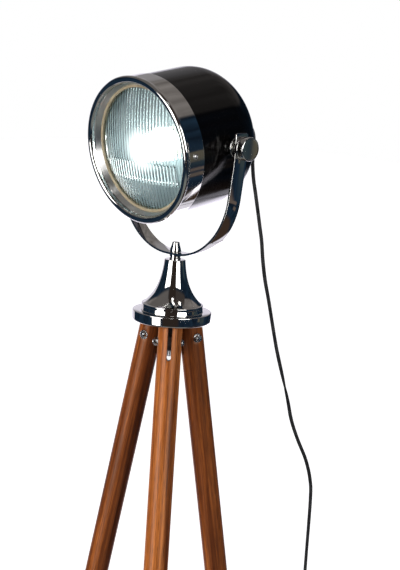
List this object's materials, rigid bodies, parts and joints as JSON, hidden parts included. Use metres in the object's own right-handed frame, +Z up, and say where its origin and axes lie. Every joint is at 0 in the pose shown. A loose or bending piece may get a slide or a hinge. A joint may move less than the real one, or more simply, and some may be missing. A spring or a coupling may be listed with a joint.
{
  "type": "tripod spotlight floor lamp",
  "caption": "Floor lamp with a headlamp-style spotlight that tilts in a swivelling yoke above a bell-shaped hub, on folding round wooden tripod legs, with a cord, foot switch and plug.",
  "frame": {"origin": "on the lamp's vertical axis at floor level, midway between the tripod's feet", "axes": "+Z up; the lamp faces -Y; +X towards the right-hand clamp knob as seen from in front of the lamp on its left, along the tilt axis"},
  "size_m": [0.4267, 0.4879, 1.4416],
  "materials": {
    "chrome": "polished chrome plate over steel",
    "black_steel": "satin black enamel",
    "zinc_steel": "zinc plated",
    "bright_steel": "bright nickel plated",
    "black_enamel": "gloss black enamel",
    "tan_rubber": "smooth tan rubber",
    "lens_glass": "clear pressed glass",
    "reflector_aluminium": "polished spun aluminium",
    "holder_plastic": "glazed off-white",
    "cap_aluminium": "bright",
    "opal_glass": "opal white",
    "cord_pvc": "smooth black",
    "gland_plastic": "satin black",
    "leg_wood": "satin reddish-brown stain with a fine grain",
    "pad_rubber": "matt black rubber",
    "switch_plastic": "satin black",
    "button_plastic": "gloss black",
    "tie_plastic": "matt black"
  },
  "bodies": {
    "stand": {"base_disc": "chrome", "bell": "chrome", "neck_washer": "chrome", "hinge_bracket": "black_steel", "centre_rod": "zinc_steel", "rod_washer": "zinc_steel", "rod_nut": "zinc_steel", "hinge_bolts": "bright_steel", "hinge_washers": "bright_steel", "hinge_nuts": "zinc_steel", "cord_drop": "cord_pvc", "switch_base": "switch_plastic", "switch_cover": "switch_plastic", "cord_tail": "cord_pvc", "cord_coil": "cord_pvc", "coil_tie": "tie_plastic", "plug_body": "switch_plastic", "plug_pins": "bright_steel"},
    "finial": {"finial_nut": "chrome"},
    "yoke": {"yoke_strap": "chrome", "cord_lead": "cord_pvc"},
    "head": {"head_shell": "black_enamel", "bezel_ring": "chrome", "bezel_screws": "bright_steel", "lens_gasket": "tan_rubber", "lens": "lens_glass", "reflector": "reflector_aluminium", "retaining_ring": "zinc_steel", "lamp_holder": "holder_plastic", "bulb_cap": "cap_aluminium", "bulb_globe": "opal_glass", "inner_lead": "cord_pvc", "cord_gland": "gland_plastic", "gland_nut": "gland_plastic", "pivot_studs": "zinc_steel", "stud_nuts": "zinc_steel", "pivot_spacers": "chrome"},
    "right_knob": {"knob_right": "chrome"},
    "left_knob": {"knob_left": "chrome"},
    "button": {"switch_button": "button_plastic"},
    "rear_leg": {"leg_rear": "leg_wood", "foot_pad_rear": "pad_rubber"},
    "left_leg": {"leg_left": "leg_wood", "foot_pad_left": "pad_rubber"},
    "front_leg": {"leg_front": "leg_wood", "foot_pad_front": "pad_rubber"}
  },
  "joints": [
    {"name": "swivel", "type": "hinge", "parent": "stand", "child": "yoke", "pos_m": [0, 0, 1.1879], "axis": [0, 0, 1], "range_deg": [-135, 135], "deforming": ["cord_drop"]},
    {"name": "tilt", "type": "hinge", "parent": "yoke", "child": "head", "pos_m": [0, 0, 1.3441], "axis": [1, 0, 0], "range_deg": [-70, 80], "deforming": ["cord_lead"]},
    {"name": "knob_right_turn", "type": "hinge", "parent": "head", "child": "right_knob", "pos_m": [0.112, 0, 1.3441], "axis": [1, 0, 0], "range_deg": [0, 360]},
    {"name": "knob_left_turn", "type": "hinge", "parent": "head", "child": "left_knob", "pos_m": [-0.112, 0, 1.3441], "axis": [-1, 0, 0], "range_deg": [0, 360]},
    {"name": "finial_turn", "type": "hinge", "parent": "stand", "child": "finial", "pos_m": [0, 0, 1.191], "axis": [0, 0, 1], "range_deg": [0, 360]},
    {"name": "rear_leg_fold", "type": "hinge", "parent": "stand", "child": "rear_leg", "pos_m": [0.0082, 0.03241, 1.0717], "axis": [-0.9694, 0.2453, 0], "range_deg": [0, 11]},
    {"name": "left_leg_fold", "type": "hinge", "parent": "stand", "child": "left_leg", "pos_m": [-0.03217, -0.0091, 1.0717], "axis": [0.2723, -0.9622, 0], "range_deg": [0, 11]},
    {"name": "front_leg_fold", "type": "hinge", "parent": "stand", "child": "front_leg", "pos_m": [0.02397, -0.02331, 1.0717], "axis": [0.6972, 0.7169, 0], "range_deg": [0, 11]},
    {"name": "button_press", "type": "slide", "parent": "stand", "child": "button", "axis": [0, 0, -1], "range_m": [0, 0.003], "stiffness_N_per_m": 500, "springref_m": -0.002}
  ]
}
